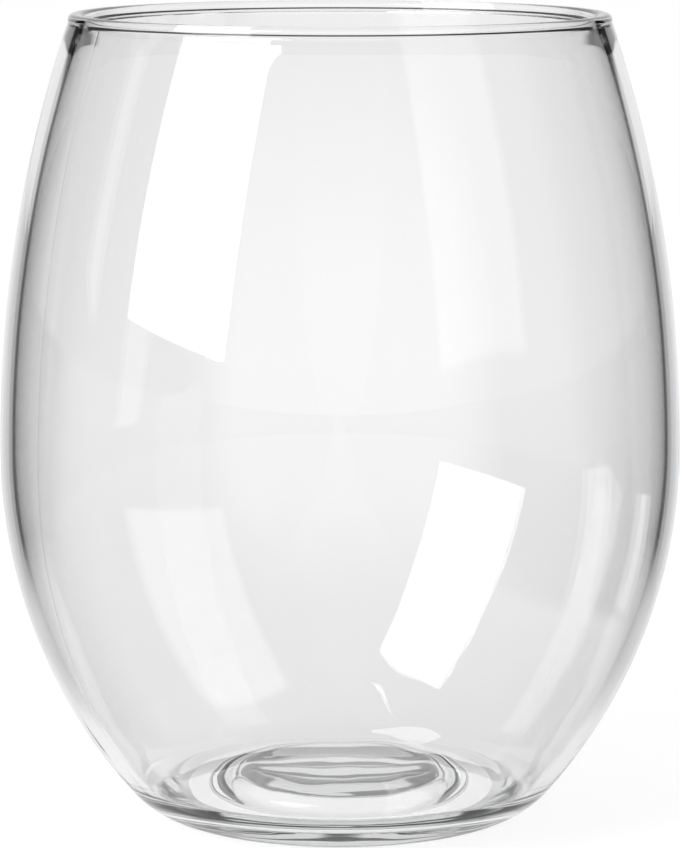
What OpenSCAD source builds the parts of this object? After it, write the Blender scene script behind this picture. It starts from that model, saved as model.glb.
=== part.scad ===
// Stemless wine glass: one clear moulding, divided at its mould lines into lip, neck band, wall and base.
// The axis is Z, and the foot ring stands on z = 0.

/* [Bowl] */
// Largest outside diameter, at the belly
belly_d = 92; // [84:0.5:104]
// Height of the belly line above the table
belly_z = 50.4; // [46:0.2:56]
// Radius of the side below the belly line
side_arc_r = 71; // [66:0.5:80]
// Radius of the side above the belly line
shoulder_arc_r = 177.5; // [140:0.5:240]
// Thickness of the wall
wall_t = 2; // [1.2:0.1:2.6]

/* [Rim] */
// Overall height, to the top of the lip
glass_h = 109.2; // [98:0.2:118]
// Height of the lip above the groove
lip_h = 1.42; // [1.2:0.02:1.6]
// Radius of the lip's round edges
lip_edge_r = 0.85; // [0.72:0.01:0.95]
// How far the lip stands out past the wall
lip_proud = 0.12; // [0:0.02:0.3]
// Height of the neck band
neck_h = 2.8; // [2.6:0.1:5]
// Thickness of the neck band, where it meets the lip
neck_t = 2.1; // [2.1:0.1:3]
// Height of the sloped run inside, from the neck band to the wall
neck_run_h = 2.4; // [0.6:0.1:2.4]

/* [Base] */
// Height of the base, where the wall starts to thicken
base_h = 14; // [12:0.5:20]
// Radius of the heel
heel_r = 11.7; // [8:0.1:14]
// Thickness under the lowest ring of the floor
floor_t = 4.5; // [4:0.1:7]
// Radius of the round valley between the wall and the raised middle
valley_r = 6; // [5:0.1:12]
// Height of the raised middle above the valley
dome_h = 3.5; // [1.5:0.1:5]
// Radius of the hollow under the base, on the table
hollow_r = 16.5; // [12:0.5:18]
// Depth of the hollow under the base
hollow_h = 3; // [1:0.1:3.8]
// Radius of the round that comes down from the hollow's flat roof to the foot ring
hollow_round_r = 4; // [4:0.1:8]

/* [Hidden] */

clear_tint = [0.93, 0.95, 0.95, 0.35];
turn_facets = 240;
arc_facets = 720;

// The side's centre in the profile plane, and the shoulder's: both have the belly line's height
side_c = [belly_d / 2 - side_arc_r, belly_z];
shoulder_c = [belly_d / 2 - shoulder_arc_r, belly_z];

// Heights of the zones
lip_z = glass_h - lip_h;
neck_z = lip_z - neck_h;

// The outside radius at a height above the belly line
function shoulder_at(z) = shoulder_c.x + sqrt(pow(shoulder_arc_r, 2) - pow(z - belly_z, 2));

// The inside radius at a height above the belly line
function inside_at(z) = shoulder_c.x + sqrt(pow(shoulder_arc_r - wall_t, 2) - pow(z - belly_z, 2));

// The inside radius of the neck band at a height
function neck_in_at(z) = shoulder_c.x + sqrt(pow(shoulder_arc_r - neck_t, 2) - pow(z - belly_z, 2));

// A round of radius r lies inside a larger arc and touches it; this is its centre, for its lowest height
function nested_c(big_c, big_r, r, low_z) =
    [big_c.x + sqrt(pow(big_r - r, 2) - pow(big_c.y - low_z - r, 2)), low_z + r];

// Where that round and the larger arc touch
function touch_point(big_c, big_r, c) = big_c + (c - big_c) * big_r / norm(c - big_c);

// The lip's outer edge and inner edge, as centres of its round edges
neck_in_r = neck_in_at(lip_z);
lip_edge_z = glass_h - lip_edge_r;
lip_out = [shoulder_at(lip_edge_z) + lip_proud - lip_edge_r, lip_edge_z];
lip_in = [min(neck_in_r + lip_edge_r, lip_out.x), lip_edge_z];

// The heel outside, and the valley inside
heel_c = nested_c(side_c, side_arc_r, heel_r, 0);
heel_top = touch_point(side_c, side_arc_r, heel_c);
inner_arc_r = side_arc_r - wall_t;
valley_c = nested_c(side_c, inner_arc_r, valley_r, floor_t);
valley_top = touch_point(side_c, inner_arc_r, valley_c);

// The raised middle is an arc about the axis that touches the valley's round from outside
dome_r = (pow(valley_c.x, 2) + pow(dome_h, 2) - 2 * valley_r * dome_h) / (2 * dome_h);
dome_c = [0, floor_t + dome_h - dome_r];
dome_foot = dome_c + (valley_c - dome_c) * dome_r / norm(valley_c - dome_c);

// The hollow's round starts level with its flat roof and ends at the foot ring
hollow_round_z = hollow_h - hollow_round_r;
hollow_flat_r = hollow_r - sqrt(pow(hollow_round_r, 2) - pow(hollow_round_z, 2));
hollow_c = [hollow_flat_r, hollow_round_z];

module disc(c, r) {
    translate(c) circle(r = r, $fn = arc_facets);
}

// The part of a profile between two heights and two radii
module cut(low, high) {
    intersection() {
        translate(low) square(high - low);
        children();
    }
}

module turn() {
    rotate_extrude($fn = turn_facets) children();
}

// The lip is a bead with two round edges, flat where it sits on the neck band
module lip() {
    color(clear_tint) turn() {
        cut([lip_out.x, lip_z], [lip_out.x + lip_edge_r, glass_h]) disc(lip_out, lip_edge_r);
        cut([lip_in.x - lip_edge_r, lip_z], [lip_in.x, glass_h]) disc(lip_in, lip_edge_r);
        translate([lip_in.x, lip_z]) square([lip_out.x - lip_in.x, lip_h]);
    }
}

// The neck band follows the shoulder outside and inside, and runs out to the wall below
module neck_band() {
    run_z = neck_z + neck_run_h;
    color(clear_tint) turn() difference() {
        cut([0, neck_z], [belly_d / 2, lip_z]) disc(shoulder_c, shoulder_arc_r);
        cut([0, run_z], [belly_d / 2, lip_z]) disc(shoulder_c, shoulder_arc_r - neck_t);
        polygon([
            [0, neck_z],
            [inside_at(neck_z), neck_z],
            [neck_in_at(run_z), run_z],
            [0, run_z]
        ]);
    }
}

// The wall is as thick at the shoulder as at the side, and the two arcs meet upright at the belly line
module bowl_wall() {
    color(clear_tint) turn() {
        difference() {
            cut([0, belly_z], [belly_d / 2, neck_z]) disc(shoulder_c, shoulder_arc_r);
            disc(shoulder_c, shoulder_arc_r - wall_t);
        }
        difference() {
            cut([0, base_h], [belly_d / 2, belly_z]) disc(side_c, side_arc_r);
            disc(side_c, inner_arc_r);
        }
    }
}

// The outside of the base: foot, heel, and side up to the bowl wall
module base_outside() {
    square([heel_c.x, heel_top.y]);
    cut([heel_c.x, 0], heel_top) disc(heel_c, heel_r);
    cut([0, heel_top.y], [belly_d / 2, base_h]) disc(side_c, side_arc_r);
}

// The cavity outside the raised middle: the valley's outer half, and the side above it
module cavity_side() {
    cut([valley_c.x, floor_t], valley_top) disc(valley_c, valley_r);
    cut([valley_c.x, valley_top.y], [belly_d / 2, base_h]) disc(side_c, inner_arc_r);
}

// The cavity over the raised middle: the valley's inner half, and the dome
module cavity_middle() {
    translate(dome_foot) square([valley_c.x - dome_foot.x, base_h - dome_foot.y]);
    cut([dome_foot.x, floor_t], [valley_c.x, dome_foot.y]) disc(valley_c, valley_r);
    difference() {
        translate([0, dome_foot.y]) square([dome_foot.x, base_h - dome_foot.y]);
        disc(dome_c, dome_r);
    }
}

// The hollow under the base: a flat roof with a round edge
module hollow() {
    square([hollow_flat_r, hollow_h]);
    cut([hollow_flat_r, 0], [hollow_r, hollow_h]) disc(hollow_c, hollow_round_r);
}

module base() {
    color(clear_tint) turn() difference() {
        base_outside();
        cavity_side();
        cavity_middle();
        hollow();
    }
}

lip();
neck_band();
bowl_wall();
base();
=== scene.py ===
"""Stemless wine glass: its clear moulding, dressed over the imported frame, on a pale studio floor."""
import math

import bpy
from bpy.props import FloatProperty, FloatVectorProperty, IntProperty, PointerProperty
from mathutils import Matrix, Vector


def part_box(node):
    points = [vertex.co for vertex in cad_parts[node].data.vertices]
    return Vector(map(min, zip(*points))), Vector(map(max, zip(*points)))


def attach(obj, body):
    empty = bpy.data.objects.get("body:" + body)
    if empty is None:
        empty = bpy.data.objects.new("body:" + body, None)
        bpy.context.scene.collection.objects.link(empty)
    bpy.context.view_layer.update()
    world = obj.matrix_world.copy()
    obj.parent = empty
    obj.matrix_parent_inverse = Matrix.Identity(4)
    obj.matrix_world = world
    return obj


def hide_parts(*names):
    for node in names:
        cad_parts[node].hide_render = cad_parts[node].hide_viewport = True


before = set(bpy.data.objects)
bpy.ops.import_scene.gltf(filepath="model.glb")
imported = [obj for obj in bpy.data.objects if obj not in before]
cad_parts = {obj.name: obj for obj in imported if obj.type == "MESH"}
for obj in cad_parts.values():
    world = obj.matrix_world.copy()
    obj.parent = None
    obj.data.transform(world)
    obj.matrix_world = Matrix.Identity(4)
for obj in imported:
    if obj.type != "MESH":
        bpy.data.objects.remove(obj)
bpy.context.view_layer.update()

bl_info = {
    "name": "Stemless wine glass",
    "version": (1, 0, 0),
    "blender": (4, 5, 0),
    "location": "View3D > Sidebar > Glass",
    "description": "Builds a clear stemless wine glass over its packed frame, with a studio stage",
    "category": "Object",
}

# The piece, the body that it rides on, its material slot, and the nodes that it stands for
PIECE = "clear_moulding"
BODY = "root"
ZONES = ("lip", "neck_band", "bowl_wall", "base")

# Heights that come from the frame
GLASS_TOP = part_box("lip")[1][2]
LIP_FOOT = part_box("lip")[0][2]
NECK_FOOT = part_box("neck_band")[0][2]

# Steps of the mesh along each stretch of the profile
STEPS = {
    "hollow": 12,
    "hollow_round": 12,
    "foot_round": 6,
    "foot_ring": 3,
    "heel": 20,
    "side": 44,
    "shoulder": 40,
    "neck": 6,
    "lip_edge": 14,
    "neck_inside": 4,
    "neck_run": 4,
    "valley": 12,
    "dome_foot": 6,
    "dome": 24,
}

# Meridians beside a mould seam: how many on each side, and their gaps as shares of its half width
SEAM_STEPS = 6
SEAM_STEP_SHARE = 0.5
LEAST_GAP_SHARE = 0.25

# A length below this counts as none, and an edge sharper than this stays sharp in the shading
LEAST_LENGTH = 1e-7
CREASE = math.radians(35.0)

# Textures of the finish: scales count features for each metre, and heights are above the table
HANDLED_SCALE = 90.0
HANDLED_DETAIL = 5.0
HANDLED_RANGE = (0.50, 0.75)
WORN_HEIGHT = 0.0003
RIPPLE_SCALE = 55.0
FLOW_SCALE = 140.0
WAVE_DETAIL = 1.0
FLOW_HEIGHTS = (0.012, 0.034)

# The pale sweep: half its width and its start before the axis on the floor, and where its slope begins
SWEEP_HALF = 0.043
SWEEP_START = 0.012
SWEEP_LEAST_AWAY = 0.01
SWEEP_FLAT_SLOPE = 0.08

# The floor: its finish, the dark colour of painted shade that glass sees beside the sweep, and the
# distances from the axis over which the painted light and shade that glass shows of it change
FLOOR_ROUGHNESS = 0.06
FLOOR_PAINTED_SHADE = (0.01, 0.01, 0.01, 1.0)
FLOOR_NEAR_SHARE = 0.7
# Painted light: the floor that glass shows is brighter under the base, fading out over this span
PAINTED_LIGHT_UNDER_SPAN = (0.012, 0.018)
FLOOR_CLEAR_SPAN = (0.04, 0.12)
FLOOR_NEAR_SPAN = (0.10, 0.19)
FLOOR_DEPTH_SPAN = (0.05, 0.5)

# Directions on the floor over which its painted light and shade for glass turns to its right side, and to
# its back, as parts of a unit step
FLOOR_RIGHT_SPAN = (0.66, 0.86)
FLOOR_BACK_SPAN = (0.1, 0.5)

# Directions over which the room's level changes, as parts of a unit step along one axis
ROOM_GAP_START = (0.055, 0.085)
ROOM_GAP_END = (0.21, 0.24)
ROOM_FRONT_RISE = (0.2, 0.65)
ROOM_SIDE_SPAN = (-0.6, 0.6)
ROOM_FRONT_SPAN = (-0.85, -0.5)
ROOM_BACK_SPAN = (0.45, 0.75)

# The soft panel: its corners are bearings to the left of the front, and elevations, in degrees
PANEL_DISTANCE = 0.8
PANEL_EYE_HEIGHT = 0.07
PANEL_FACING = 53.0
PANEL_CORNERS = ((75.0, 4.0), (39.0, 2.5), (24.0, 48.0), (67.0, 48.0))

# The light strips: their corners on the floor, and how high they lie
STRIP_HEIGHT = 0.0004
STRIP_OUTLINES = (
    ((0.06, -0.030), (0.40, -0.030), (0.40, 0.050), (0.06, -0.016)),
    ((0.10, 0.018), (0.24, 0.105), (0.22, 0.130), (0.09, 0.030)),
)

# The camera's picture height and sensor, and the bounces that light makes in the clear wall
PHOTO_HEIGHT_PX = 848
SENSOR_MM = 36.0
LIGHT_BOUNCES = 24

# Sockets of the Mix node for each kind of value: share, first and second, and the result
MIX_SOCKETS = {"FLOAT": ((0, 2, 3), 0), "RGBA": ((0, 6, 7), 2)}


def length(name, description, default):
    """A size of the glass or the stage, in metres."""
    return FloatProperty(
        name=name, description=description, default=default, min=0.0,
        subtype="DISTANCE", unit="LENGTH", precision=5,
    )


def level(name, description, default):
    """A plain number without a unit."""
    return FloatProperty(name=name, description=description, default=default, min=0.0, precision=4)


def turn(name, description, degrees):
    """An angle, kept in radians."""
    return FloatProperty(
        name=name, description=description, default=math.radians(degrees),
        subtype="ANGLE", unit="ROTATION",
    )


def colour(name, description, default):
    """A colour with its alpha."""
    return FloatVectorProperty(
        name=name, description=description, default=default, size=4,
        subtype="COLOR", min=0.0, max=1.0,
    )


class GlassSizes(bpy.types.PropertyGroup):
    """Sizes of the moulding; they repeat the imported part's own sizes."""

    belly_diameter: length("Belly diameter", "Largest outside diameter", 0.092)
    belly_height: length("Belly height", "Height of the widest line", 0.0504)
    side_radius: length("Side radius", "Arc of the side below the belly", 0.071)
    shoulder_radius: length("Shoulder radius", "Arc of the side above the belly", 0.1775)
    wall: length("Wall", "Thickness of the wall", 0.002)
    top: length("Top", "Height of the lip's top", GLASS_TOP)
    lip_foot: length("Lip foot", "Height of the groove under the lip", LIP_FOOT)
    lip_edge: length("Lip edge", "Radius of the lip's round edges", 0.00085)
    lip_proud: length("Lip proud", "How far the lip stands out past the wall", 0.00012)
    neck_foot: length("Neck foot", "Height where the neck band starts", NECK_FOOT)
    neck_thickness: length("Neck thickness", "Thickness of the neck band", 0.0021)
    neck_run: length("Neck run", "Height of the slope from the wall to the neck band", 0.0024)
    heel: length("Heel", "Radius of the heel", 0.0117)
    floor_thickness: length("Floor thickness", "Thickness under the floor's lowest ring", 0.0045)
    valley: length("Valley", "Radius of the round between wall and floor", 0.006)
    dome: length("Dome", "Rise of the middle of the floor", 0.0035)
    hollow_radius: length("Hollow radius", "Radius of the hollow under the base", 0.0165)
    hollow_depth: length("Hollow depth", "Depth of the hollow under the base", 0.003)
    hollow_round: length("Hollow round", "Round from the hollow's flat roof down to the foot ring", 0.004)
    foot_round: length("Foot round", "Small round between the hollow and the foot ring", 0.0005)
    seam_bearing: turn("Seam bearing", "Bearing of the mould seam from the front", 59.0)
    seam_width: length("Seam width", "Half width of the mould seam", 0.00022)
    seam_height: length("Seam height", "How far the mould seam stands out", 0.000008)
    turn_steps: IntProperty(name="Turn steps", description="Steps round the glass", default=288, min=24)


class ClearFinish(bpy.types.PropertyGroup):
    """Finish of the clear moulding."""

    tint: colour("Tint", "What the material keeps of white light", (0.60, 0.62, 0.62, 1.0))
    tint_density: level("Tint density", "Strength of the tint for each metre of depth", 12.0)
    ior: level("Index of refraction", "How strongly the material bends light", 1.54)
    polish: level("Polish", "Roughness of the polished sides", 0.004)
    handling: level("Handling", "Roughness that wiping and handling add in patches", 0.012)
    foot_wear: level("Foot wear", "Roughness of the ring that stands on the table", 0.22)
    ripple: length("Ripple", "Depth of the slow waves in the moulded surface", 0.000012)
    flow: length("Flow marks", "Depth of the waves that the melt leaves low on the wall", 0.00005)


class StudioStage(bpy.types.PropertyGroup):
    """Floor, light and camera."""

    floor_colour: colour("Floor colour", "Colour of the floor", (0.30, 0.30, 0.30, 1.0))
    floor_glow: level("Floor glow", "What the background adds to the floor for the camera", 0.86)
    # The near, far, front, under and right levels are painted light and shade on the floor, which only
    # glass shows
    floor_near: level("Near floor", "What glass shows of the floor close behind it", 0.72)
    floor_far: level("Far floor", "What glass shows of the floor well behind it", 0.86)
    floor_front: level("Front floor", "What glass shows of the floor before it and on its left", 0.8)
    # Painted light: how much brighter the floor under the base is where glass shows it
    painted_light_under_base: level("Floor under", "Share of the floor's level that glass shows under the base", 1.2)
    floor_right: level("Right floor", "What glass shows of the floor on its right", 0.05)
    floor_strip: level("Floor strips", "Level of the light strips on the floor on the right", 0.8)
    floor_polish: level("Floor polish", "Share of light that the floor mirrors where glass shows it", 0.25)
    floor_half: length("Floor half width", "Half the floor's width", 3.0)
    panel_level: level("Panel", "Level of the large soft panel on the left", 5.0)
    room_front: level("Room in front", "Level of the room behind the camera, near the floor", 1.4)
    room_front_high: level("Room in front, above", "Level of the room behind the camera, high up", 0.5)
    room_left: level("Room on the left", "Level of the room on the left", 0.6)
    room_right: level("Room on the right", "Level of the room on the right", 0.32)
    room_back: level("Room behind", "Level of the room straight behind the glass", 1.1)
    room_side: level("Room aside", "Share of the level that is left beside the sweep", 0.05)
    room_above: level("Room above", "Share of the level that is left in the gap above the sweep", 0.03)
    sweep_edge: turn("Sweep edge", "Bearing from straight behind at which the pale sweep ends", 31.0)
    sweep_soft: turn("Sweep softness", "Half the width of the sweep's soft edge", 1.6)
    sweep_fade: level("Sweep fade", "Share of the room's level that is left at the sweep's edge", 0.92)
    # Painted shade: the floor that glass shows turns darker towards the sweep's edge
    floor_fade: level("Floor fade", "Share of the floor's level that is left at the sweep's edge", 0.45)
    camera_distance: length("Camera distance", "Distance of the camera from the axis", 0.575)
    camera_height: length("Camera height", "Height of the camera", 0.1384)
    camera_pitch: turn("Camera pitch", "How far the camera looks down", 8.391)
    camera_focal_px: level("Focal length", "Focal length in the photograph's pixels", 4284.4)


def arc(centre, radius, start, end, steps):
    """Points on an arc in the profile plane, after its first point; angles in radians."""
    points = []
    for step in range(1, steps + 1):
        angle = start + (end - start) * step / steps
        points.append((centre[0] + radius * math.cos(angle), centre[1] + radius * math.sin(angle)))
    return points


def run(start, end, steps):
    """Points on a straight run, after its first point."""
    return [
        (start[0] + (end[0] - start[0]) * step / steps, start[1] + (end[1] - start[1]) * step / steps)
        for step in range(1, steps + 1)
    ]


def bearing(centre, point):
    """Angle of a point, seen from a centre in the profile plane."""
    return math.atan2(point[1] - centre[1], point[0] - centre[0])


def angle_at(centre, radius, height):
    """Angle at which an arc passes a height."""
    return math.asin((height - centre[1]) / radius)


def across_at(centre, radius, height):
    """Distance from the axis at which an arc passes a height."""
    return centre[0] + math.sqrt(radius ** 2 - (height - centre[1]) ** 2)


def nested_centre(big_centre, big_radius, radius, low):
    """Centre of a round that touches a larger arc from inside and has this lowest height."""
    rise = big_centre[1] - low - radius
    return (big_centre[0] + math.sqrt((big_radius - radius) ** 2 - rise ** 2), low + radius)


def bowl_centres(sizes):
    """Centres of the side's arc and the shoulder's arc, both at the belly's height."""
    half = sizes.belly_diameter / 2
    side = (half - sizes.side_radius, sizes.belly_height)
    shoulder = (half - sizes.shoulder_radius, sizes.belly_height)
    return side, shoulder


def under_profile(sizes):
    """Underside: the hollow from the axis out, its round, and the small round to the foot ring."""
    depth, radius, fillet = sizes.hollow_depth, sizes.hollow_round, sizes.foot_round
    low = depth - radius
    flat = sizes.hollow_radius - math.sqrt(radius ** 2 - low ** 2)
    centre = (flat, low)
    round_centre = (flat + math.sqrt((radius + fillet) ** 2 - (fillet - low) ** 2), fillet)
    touch = bearing(centre, round_centre)
    points = [(0.0, depth)]
    points += run((0.0, depth), (flat, depth), STEPS["hollow"])
    points += arc(centre, radius, math.pi / 2, touch, STEPS["hollow_round"])
    points += arc(round_centre, fillet, touch + math.pi, 1.5 * math.pi, STEPS["foot_round"])
    return points


def outside_profile(sizes, foot):
    """Outside: foot ring, heel, side and shoulder, up to the groove under the lip."""
    side, shoulder = bowl_centres(sizes)
    heel = nested_centre(side, sizes.side_radius, sizes.heel, 0.0)
    touch = bearing(side, heel)
    neck = angle_at(shoulder, sizes.shoulder_radius, sizes.neck_foot)
    groove = angle_at(shoulder, sizes.shoulder_radius, sizes.lip_foot)
    points = run(foot, (heel[0], 0.0), STEPS["foot_ring"])
    points += arc(heel, sizes.heel, -math.pi / 2, touch, STEPS["heel"])
    points += arc(side, sizes.side_radius, touch, 0.0, STEPS["side"])
    points += arc(shoulder, sizes.shoulder_radius, 0.0, neck, STEPS["shoulder"])
    points += arc(shoulder, sizes.shoulder_radius, neck, groove, STEPS["neck"])
    return points


def lip_profile(sizes):
    """The lip: two round edges, and the flat between them."""
    shoulder = bowl_centres(sizes)[1]
    edge = sizes.lip_edge
    edge_z = sizes.top - edge
    neck_in = across_at(shoulder, sizes.shoulder_radius - sizes.neck_thickness, sizes.lip_foot)
    outer = (across_at(shoulder, sizes.shoulder_radius, edge_z) + sizes.lip_proud - edge, edge_z)
    inner = (min(neck_in + edge, outer[0]), edge_z)
    dip = math.asin((edge_z - sizes.lip_foot) / edge)
    points = [(outer[0] + edge * math.cos(dip), sizes.lip_foot)]
    points += arc(outer, edge, -dip, math.pi / 2, STEPS["lip_edge"])
    if outer[0] - inner[0] > LEAST_LENGTH:
        points.append((inner[0], sizes.top))
    points += arc(inner, edge, math.pi / 2, math.pi + dip, STEPS["lip_edge"])
    points.append((neck_in, sizes.lip_foot))
    return points


def inside_profile(sizes):
    """Inside: neck band, wall, valley, and the raised middle, in to the axis."""
    side, shoulder = bowl_centres(sizes)
    side_in = sizes.side_radius - sizes.wall
    shoulder_in = sizes.shoulder_radius - sizes.wall
    neck_radius = sizes.shoulder_radius - sizes.neck_thickness
    neck_top = angle_at(shoulder, neck_radius, sizes.lip_foot)
    neck_low = angle_at(shoulder, neck_radius, sizes.neck_foot + sizes.neck_run)
    wall_angle = angle_at(shoulder, shoulder_in, sizes.neck_foot)
    wall_top = (shoulder[0] + shoulder_in * math.cos(wall_angle), sizes.neck_foot)
    valley = nested_centre(side, side_in, sizes.valley, sizes.floor_thickness)
    touch = bearing(side, valley)
    rise = sizes.dome
    dome_radius = (valley[0] ** 2 + rise ** 2 - 2 * sizes.valley * rise) / (2 * rise)
    dome = (0.0, sizes.floor_thickness + rise - dome_radius)
    dome_foot = bearing(dome, valley)
    points = arc(shoulder, neck_radius, neck_top, neck_low, STEPS["neck_inside"])
    points += run(points[-1], wall_top, STEPS["neck_run"])
    points += arc(shoulder, shoulder_in, wall_angle, 0.0, STEPS["shoulder"])
    points += arc(side, side_in, 0.0, touch, STEPS["side"])
    points += arc(valley, sizes.valley, touch, -math.pi / 2, STEPS["valley"])
    points += arc(valley, sizes.valley, -math.pi / 2, dome_foot - math.pi, STEPS["dome_foot"])
    points += arc(dome, dome_radius, dome_foot, math.pi / 2, STEPS["dome"])
    points[-1] = (0.0, points[-1][1])
    return points


def seam_angles(sizes):
    """Bearings of the two mould seams about the axis, from +X."""
    first = (-math.pi / 2 - sizes.seam_bearing) % math.tau
    return (first, (first + math.pi) % math.tau)


def turn_angles(sizes):
    """Bearings of the mesh's meridians: even steps, with close ones at the two mould seams."""
    angles = [math.tau * step / sizes.turn_steps for step in range(sizes.turn_steps)]
    reach = sizes.seam_width / (sizes.belly_diameter / 2)
    for seam in seam_angles(sizes):
        for step in range(-SEAM_STEPS, SEAM_STEPS + 1):
            angles.append((seam + step * reach * SEAM_STEP_SHARE) % math.tau)
    gap = reach * LEAST_GAP_SHARE
    kept = []
    for angle in sorted(angles):
        if not kept or angle - kept[-1] > gap:
            kept.append(angle)
    return kept


def seam_rise(sizes, angle):
    """How far the seams lift the outside at a bearing."""
    rise = 0.0
    for seam in seam_angles(sizes):
        gap = abs((angle - seam + math.pi) % math.tau - math.pi) * sizes.belly_diameter / 2
        rise += sizes.seam_height * math.exp(-((gap / sizes.seam_width) ** 2))
    return rise


def turned_mesh(name, points, angles, lift):
    """Closed mesh turned from a profile that starts and ends on the axis; lift gives a point's rise."""
    rings = []
    vertices = []
    for index, (radius, height) in enumerate(points):
        first = len(vertices)
        if radius < LEAST_LENGTH:
            vertices.append((0.0, 0.0, height))
            rings.append([first] * len(angles))
            continue
        for angle in angles:
            out = radius + lift(index, angle)
            vertices.append((out * math.cos(angle), out * math.sin(angle), height))
        rings.append(list(range(first, first + len(angles))))
    faces = []
    for low, high in zip(rings, rings[1:]):
        for step in range(len(angles)):
            after = (step + 1) % len(angles)
            ring_corners = [low[step], low[after], high[after], high[step]]
            unique = list(dict.fromkeys(ring_corners))
            if len(unique) > 2:
                faces.append(unique)
    mesh = bpy.data.meshes.new(name)
    mesh.from_pydata(vertices, [], faces)
    mesh.polygons.foreach_set("use_smooth", [True] * len(mesh.polygons))
    mesh.set_sharp_from_angle(angle=CREASE)
    mesh.update()
    return mesh


def new_material(name):
    """Empty node material and its tree."""
    material = bpy.data.materials.new(name)
    material.use_nodes = True
    material.node_tree.nodes.clear()
    return material, material.node_tree


def add_node(tree, kind, place, **settings):
    """Node of a kind at a place in the tree; settings are its own properties."""
    node = tree.nodes.new(kind)
    node.location = place
    for key, value in settings.items():
        setattr(node, key, value)
    return node


def feed(tree, socket, value):
    """Give a socket its value, or a link where the value is another socket."""
    if isinstance(value, bpy.types.NodeSocket):
        tree.links.new(value, socket)
    else:
        socket.default_value = value


def math_node(tree, place, operation, first, second=0.0):
    """Result of a sum on two values, each a socket or a number."""
    node = add_node(tree, "ShaderNodeMath", place, operation=operation)
    feed(tree, node.inputs[0], first)
    feed(tree, node.inputs[1], second)
    return node.outputs["Value"]


def product(tree, place, first, second):
    """Product of two values."""
    return math_node(tree, place, "MULTIPLY", first, second)


def larger(tree, place, first, second):
    """The larger of two values."""
    return math_node(tree, place, "MAXIMUM", first, second)


def blend(tree, place, share, first, second, kind="FLOAT"):
    """First value where the share is 0, and second where it is 1; kind is FLOAT or RGBA."""
    node = add_node(tree, "ShaderNodeMix", place, data_type=kind)
    sockets, result = MIX_SOCKETS[kind]
    for socket, value in zip(sockets, (share, first, second)):
        feed(tree, node.inputs[socket], value)
    return node.outputs[result]


def map_range(tree, place, source, span, ends):
    """Smooth step of a value: across its span, the result goes from the first end to the second."""
    node = add_node(tree, "ShaderNodeMapRange", place, interpolation_type="SMOOTHSTEP")
    node.inputs["From Min"].default_value, node.inputs["From Max"].default_value = span
    node.inputs["To Min"].default_value, node.inputs["To Max"].default_value = ends
    tree.links.new(source, node.inputs["Value"])
    return node.outputs["Result"]


def noise(tree, place, source, scale, detail):
    """Soft noise over a place, from 0 to 1."""
    node = add_node(tree, "ShaderNodeTexNoise", place)
    node.inputs["Scale"].default_value = scale
    node.inputs["Detail"].default_value = detail
    tree.links.new(source, node.inputs["Vector"])
    return node.outputs["Fac"]


def bump(tree, place, height, depth):
    """Bump node that lifts the surface by a height from 0 to 1, times a depth in metres."""
    node = add_node(tree, "ShaderNodeBump", place)
    node.inputs["Strength"].default_value = 1.0
    node.inputs["Distance"].default_value = depth
    tree.links.new(height, node.inputs["Height"])
    return node


def clear_material(finish):
    """Clear moulding: polished, faintly handled, worn where it stands, and slowly rippled."""
    material, tree = new_material("clear_moulding")
    output = add_node(tree, "ShaderNodeOutputMaterial", (700, 0))
    shader = add_node(tree, "ShaderNodeBsdfPrincipled", (350, 0))
    shader.inputs["Base Color"].default_value = (1.0, 1.0, 1.0, 1.0)
    shader.inputs["Transmission Weight"].default_value = 1.0
    shader.inputs["IOR"].default_value = finish.ior
    absorb = add_node(tree, "ShaderNodeVolumeAbsorption", (350, -500))
    absorb.inputs["Color"].default_value = finish.tint
    absorb.inputs["Density"].default_value = finish.tint_density
    place = add_node(tree, "ShaderNodeTexCoord", (-900, 0)).outputs["Object"]
    split = add_node(tree, "ShaderNodeSeparateXYZ", (-650, -100))
    tree.links.new(place, split.inputs["Vector"])
    height = split.outputs["Z"]

    # Roughness: patches from handling, and wear on the ring that meets the table
    patches = noise(tree, (-650, 150), place, HANDLED_SCALE, HANDLED_DETAIL)
    handled = map_range(tree, (-400, 150), patches, HANDLED_RANGE, (finish.polish, finish.handling))
    worn = map_range(tree, (-400, -100), height, (0.0, WORN_HEIGHT), (finish.foot_wear, 0.0))
    tree.links.new(larger(tree, (-150, 50), handled, worn), shader.inputs["Roughness"])

    # Waves: slow ones all over, and closer ones low on the wall
    slow = noise(tree, (-650, -350), place, RIPPLE_SCALE, WAVE_DETAIL)
    close = noise(tree, (-650, -600), place, FLOW_SCALE, WAVE_DETAIL)
    low = map_range(tree, (-400, -750), height, FLOW_HEIGHTS, (1.0, 0.0))
    ripple = bump(tree, (-150, -350), slow, finish.ripple)
    flow = bump(tree, (100, -350), product(tree, (-150, -650), close, low), finish.flow)
    tree.links.new(ripple.outputs["Normal"], flow.inputs["Normal"])
    tree.links.new(flow.outputs["Normal"], shader.inputs["Normal"])

    tree.links.new(shader.outputs["BSDF"], output.inputs["Surface"])
    tree.links.new(absorb.outputs["Volume"], output.inputs["Volume"])
    return material


def plane(name, outline, material):
    """Flat stage piece from its corners."""
    mesh = bpy.data.meshes.new(name)
    mesh.from_pydata(outline, [], [tuple(range(len(outline)))])
    mesh.materials.append(material)
    piece = bpy.data.objects.new(name, mesh)
    bpy.context.scene.collection.objects.link(piece)
    return piece


def even_light(name, strength):
    """Plain light of one strength."""
    material, tree = new_material(name)
    output = add_node(tree, "ShaderNodeOutputMaterial", (200, 0))
    light = add_node(tree, "ShaderNodeEmission", (0, 0))
    light.inputs["Strength"].default_value = strength
    tree.links.new(light.outputs["Emission"], output.inputs["Surface"])
    return material


def seen_rays(tree, place):
    """Two values: 1 for rays from the camera, and 1 for rays off gloss or through glass."""
    path = add_node(tree, "ShaderNodeLightPath", place)
    glossy, through = path.outputs["Is Glossy Ray"], path.outputs["Is Transmission Ray"]
    shown = larger(tree, (place[0] + 200, place[1]), glossy, through)
    return path.outputs["Is Camera Ray"], shown


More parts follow.
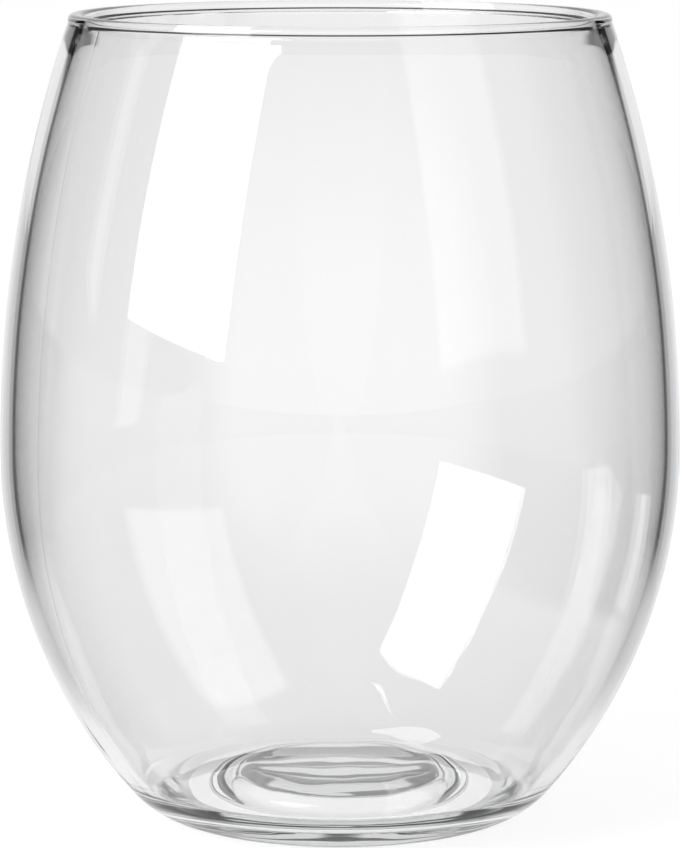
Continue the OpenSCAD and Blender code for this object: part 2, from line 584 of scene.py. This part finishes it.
def sweep_share(tree, place, split, half, start, stage, fade):
    """Share of the level by bearing: pale straight behind the glass, and dark beside the sweep."""
    x, y = place
    aside = math_node(tree, (x, y), "ABSOLUTE", split.outputs["X"])
    out = math_node(tree, (x + 150, y), "SUBTRACT", aside, half)
    away = math_node(tree, (x, y + 200), "ADD", split.outputs["Y"], start)
    away = larger(tree, (x + 150, y + 200), away, SWEEP_LEAST_AWAY)
    slope = math_node(tree, (x + 300, y), "DIVIDE", out, away)
    inner = math.tan(stage.sweep_edge - stage.sweep_soft)
    outer = math.tan(stage.sweep_edge + stage.sweep_soft)
    faded = map_range(tree, (x + 450, y), slope, (SWEEP_FLAT_SLOPE, inner), (1.0, fade))
    ended = map_range(tree, (x + 450, y + 200), slope, (inner, outer), (1.0, stage.room_side))
    return product(tree, (x + 650, y), faded, ended)


def floor_place(tree):
    """A floor point's position by axis, its distance from the origin, and its direction by axis."""
    position = add_node(tree, "ShaderNodeNewGeometry", (-700, 0)).outputs["Position"]
    split = add_node(tree, "ShaderNodeSeparateXYZ", (-500, 0))
    away = add_node(tree, "ShaderNodeVectorMath", (-500, 250), operation="LENGTH")
    toward = add_node(tree, "ShaderNodeVectorMath", (-500, 450), operation="NORMALIZE")
    sided = add_node(tree, "ShaderNodeSeparateXYZ", (-300, 450))
    tree.links.new(position, split.inputs["Vector"])
    tree.links.new(position, away.inputs[0])
    tree.links.new(position, toward.inputs[0])
    tree.links.new(toward.outputs["Vector"], sided.inputs["Vector"])
    return split, away.outputs["Value"], sided


def floor_painted_levels(tree, stage, split, away, sided, pale):
    """Painted light and shade: level of the floor that glass shows, by side, by depth behind the glass,
    and under the base.
    """
    clear = map_range(tree, (-300, 250), away, FLOOR_CLEAR_SPAN, (0.0, 1.0))
    rightward = product(tree, (-100, 450), sided.outputs["X"], clear)
    sides = (stage.floor_front, stage.floor_right)
    side = map_range(tree, (100, 450), rightward, FLOOR_RIGHT_SPAN, sides)
    depths = (stage.floor_near, stage.floor_far)
    depth = map_range(tree, (-300, 100), split.outputs["Y"], FLOOR_DEPTH_SPAN, depths)
    behind = map_range(tree, (100, 250), sided.outputs["Y"], FLOOR_BACK_SPAN, (0.0, 1.0))
    around = blend(tree, (300, 350), behind, side, product(tree, (300, 550), depth, pale))
    # Painted light: a brighter patch on the floor under the base
    under = map_range(tree, (300, 150), away, PAINTED_LIGHT_UNDER_SPAN, (stage.painted_light_under_base, 1.0))
    return product(tree, (400, 250), around, under)


def floor_material(stage):
    """Pale floor that keeps its shadows; the camera and glass each see their own level added to it, and
    the level that glass sees is painted light and shade.
    """
    material, tree = new_material("pale_floor")
    split, away, sided = floor_place(tree)
    # Painted light and shade for glass: pale on the sweep and close round the glass, and dark beside them
    sweep = sweep_share(tree, (-300, 700), split, SWEEP_HALF, SWEEP_START, stage, stage.floor_fade)
    near = map_range(tree, (100, 700), away, FLOOR_NEAR_SPAN, (FLOOR_NEAR_SHARE, 0.0))
    pale = larger(tree, (300, 700), sweep, near)
    camera_ray, glass_ray = seen_rays(tree, (-500, -450))

    # Paint: painted shade, dark beside the sweep where glass shows it, and pale for the camera
    painted = larger(tree, (100, 250), pale, camera_ray)
    paint = blend(tree, (280, 200), painted, FLOOR_PAINTED_SHADE, stage.floor_colour, "RGBA")
    cover = add_node(tree, "ShaderNodeBsdfDiffuse", (450, 150))
    tree.links.new(paint, cover.inputs["Color"])

    # Level that the background adds for the camera, and the painted light and shade that glass shows
    painted_levels = floor_painted_levels(tree, stage, split, away, sided, pale)
    by_glass = product(tree, (500, 350), painted_levels, glass_ray)
    by_camera = product(tree, (100, -200), camera_ray, stage.floor_glow)
    glow = add_node(tree, "ShaderNodeEmission", (450, -100))
    tree.links.new(math_node(tree, (280, -100), "ADD", by_glass, by_camera), glow.inputs["Strength"])
    both = add_node(tree, "ShaderNodeAddShader", (700, 0))
    tree.links.new(cover.outputs["BSDF"], both.inputs[0])
    tree.links.new(glow.outputs["Emission"], both.inputs[1])

    # Polish, where glass shows it
    polish = add_node(tree, "ShaderNodeBsdfGlossy", (450, -300))
    polish.inputs["Roughness"].default_value = FLOOR_ROUGHNESS
    top = add_node(tree, "ShaderNodeMixShader", (900, 0))
    tree.links.new(product(tree, (700, -200), glass_ray, stage.floor_polish), top.inputs["Fac"])
    tree.links.new(both.outputs["Shader"], top.inputs[1])
    tree.links.new(polish.outputs["BSDF"], top.inputs[2])
    output = add_node(tree, "ShaderNodeOutputMaterial", (1100, 0))
    tree.links.new(top.outputs["Shader"], output.inputs["Surface"])
    return material


def studio_floor(stage):
    """Square floor that the glass stands on."""
    half = stage.floor_half
    outline = [(-half, -half, 0.0), (half, -half, 0.0), (half, half, 0.0), (-half, half, 0.0)]
    plane("floor", outline, floor_material(stage))


def light_panel(stage):
    """Soft light panel on an upright plane on the left; the camera doesn't see it."""
    outline = []
    for side, up in PANEL_CORNERS:
        flat = PANEL_DISTANCE / math.cos(math.radians(side - PANEL_FACING))
        outline.append((
            -flat * math.sin(math.radians(side)),
            -flat * math.cos(math.radians(side)),
            PANEL_EYE_HEIGHT + flat * math.tan(math.radians(up)),
        ))
    panel = plane("panel_left", outline, even_light("panel_left", stage.panel_level))
    panel.visible_camera = False


def light_strips(stage):
    """Light strips on the floor on the right, which only glass and gloss show."""
    light = even_light("floor_strip", stage.floor_strip)
    for number, outline in enumerate(STRIP_OUTLINES):
        strip = plane("floor_strip_%d" % number, [(x, y, STRIP_HEIGHT) for x, y in outline], light)
        strip.visible_camera = False
        strip.visible_diffuse = False
        strip.visible_shadow = False


def studio_world(stage):
    """Plain room: pale for the camera, and for glass a pale sweep behind with a dark gap above it."""
    world = bpy.data.worlds.new("studio_room")
    world.use_nodes = True
    tree = world.node_tree
    tree.nodes.clear()
    way = add_node(tree, "ShaderNodeTexCoord", (-400, 0))
    split = add_node(tree, "ShaderNodeSeparateXYZ", (-200, 0))
    tree.links.new(way.outputs["Generated"], split.inputs["Vector"])
    across, back, up = split.outputs
    path = add_node(tree, "ShaderNodeLightPath", (-400, 800))

    # Behind the glass: the sweep, and the gap above it, which mirrored rays don't see
    sweep = sweep_share(tree, (-400, 400), split, 0.0, 0.0, stage, stage.sweep_fade)
    gap_start = map_range(tree, (-200, 600), up, ROOM_GAP_START, (1.0, stage.room_above))
    gap_end = map_range(tree, (-200, 800), up, ROOM_GAP_END, (0.0, 1.0))
    gap = larger(tree, (0, 600), gap_start, gap_end)
    above = larger(tree, (150, 500), gap, path.outputs["Is Reflection Ray"])
    rear = product(tree, (300, 200), product(tree, (200, 300), sweep, above), stage.room_back)

    # In front of the glass and on its sides
    fronts = (stage.room_front, stage.room_front_high)
    front = map_range(tree, (0, 0), up, ROOM_FRONT_RISE, fronts)
    sides = (stage.room_left, stage.room_right)
    side = map_range(tree, (0, -250), across, ROOM_SIDE_SPAN, sides)
    ahead = map_range(tree, (0, -500), back, ROOM_FRONT_SPAN, (1.0, 0.0))
    behind = map_range(tree, (0, -750), back, ROOM_BACK_SPAN, (0.0, 1.0))
    around = blend(tree, (200, -200), ahead, side, front)
    lit = blend(tree, (400, 0), behind, around, rear)
    shown = blend(tree, (600, 0), path.outputs["Is Camera Ray"], lit, stage.room_back)

    room = add_node(tree, "ShaderNodeBackground", (800, 0))
    tree.links.new(shown, room.inputs["Strength"])
    output = add_node(tree, "ShaderNodeOutputWorld", (1000, 0))
    tree.links.new(room.outputs["Background"], output.inputs["Surface"])
    bpy.context.scene.world = world


def studio_camera(stage):
    """Camera at the photograph's viewing angle."""
    data = bpy.data.cameras.new("camera")
    data.sensor_fit = "AUTO"
    data.sensor_width = SENSOR_MM
    data.lens = stage.camera_focal_px * SENSOR_MM / PHOTO_HEIGHT_PX
    camera = bpy.data.objects.new("camera", data)
    camera.location = (0.0, -stage.camera_distance, stage.camera_height)
    camera.rotation_euler = (math.pi / 2 - stage.camera_pitch, 0.0, 0.0)
    bpy.context.scene.collection.objects.link(camera)
    bpy.context.scene.camera = camera


class GLASS_OT_moulding(bpy.types.Operator):
    """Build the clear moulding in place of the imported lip, neck band, wall and base"""

    bl_idname = "glass.moulding"
    bl_label = "Clear moulding"

    def execute(self, context):
        sizes = context.scene.glass_sizes
        under = under_profile(sizes)
        outside = outside_profile(sizes, under[-1])
        points = under + outside + lip_profile(sizes) + inside_profile(sizes)
        first = len(under) + STEPS["foot_ring"]
        last = len(under) + len(outside)

        def lift(index, angle):
            return seam_rise(sizes, angle) if first <= index < last else 0.0

        mesh = turned_mesh(PIECE, points, turn_angles(sizes), lift)
        mesh.materials.append(clear_material(context.scene.glass_finish))
        piece = bpy.data.objects.new(PIECE, mesh)
        context.scene.collection.objects.link(piece)
        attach(piece, BODY)
        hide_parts(*ZONES)
        return {"FINISHED"}


class GLASS_OT_stage(bpy.types.Operator):
    """Set up the pale floor, the soft light and the camera"""

    bl_idname = "glass.stage"
    bl_label = "Studio stage"

    def execute(self, context):
        scene = context.scene
        stage = scene.glass_stage
        studio_floor(stage)
        light_panel(stage)
        light_strips(stage)
        studio_world(stage)
        studio_camera(stage)
        scene.view_settings.view_transform = "Standard"
        scene.cycles.use_denoising = True
        scene.cycles.max_bounces = LIGHT_BOUNCES
        scene.cycles.transmission_bounces = LIGHT_BOUNCES
        scene.cycles.glossy_bounces = LIGHT_BOUNCES
        return {"FINISHED"}


class GLASS_PT_sidebar(bpy.types.Panel):
    """Builders of the glass and its stage"""

    bl_idname = "GLASS_PT_sidebar"
    bl_label = "Stemless wine glass"
    bl_space_type = "VIEW_3D"
    bl_region_type = "UI"
    bl_category = "Glass"

    def draw(self, context):
        self.layout.operator(GLASS_OT_moulding.bl_idname)
        self.layout.operator(GLASS_OT_stage.bl_idname)


CLASSES = (GlassSizes, ClearFinish, StudioStage, GLASS_OT_moulding, GLASS_OT_stage, GLASS_PT_sidebar)


def register():
    """Register the classes, and give the scene its three groups of values."""
    for cls in CLASSES:
        bpy.utils.register_class(cls)
    bpy.types.Scene.glass_sizes = PointerProperty(type=GlassSizes)
    bpy.types.Scene.glass_finish = PointerProperty(type=ClearFinish)
    bpy.types.Scene.glass_stage = PointerProperty(type=StudioStage)


def unregister():
    """Take the groups and the classes away again."""
    del bpy.types.Scene.glass_stage
    del bpy.types.Scene.glass_finish
    del bpy.types.Scene.glass_sizes
    for cls in reversed(CLASSES):
        bpy.utils.unregister_class(cls)


def main():
    """Build the glass and its stage."""
    register()
    bpy.ops.glass.moulding()
    bpy.ops.glass.stage()


if __name__ == "__main__":
    main()
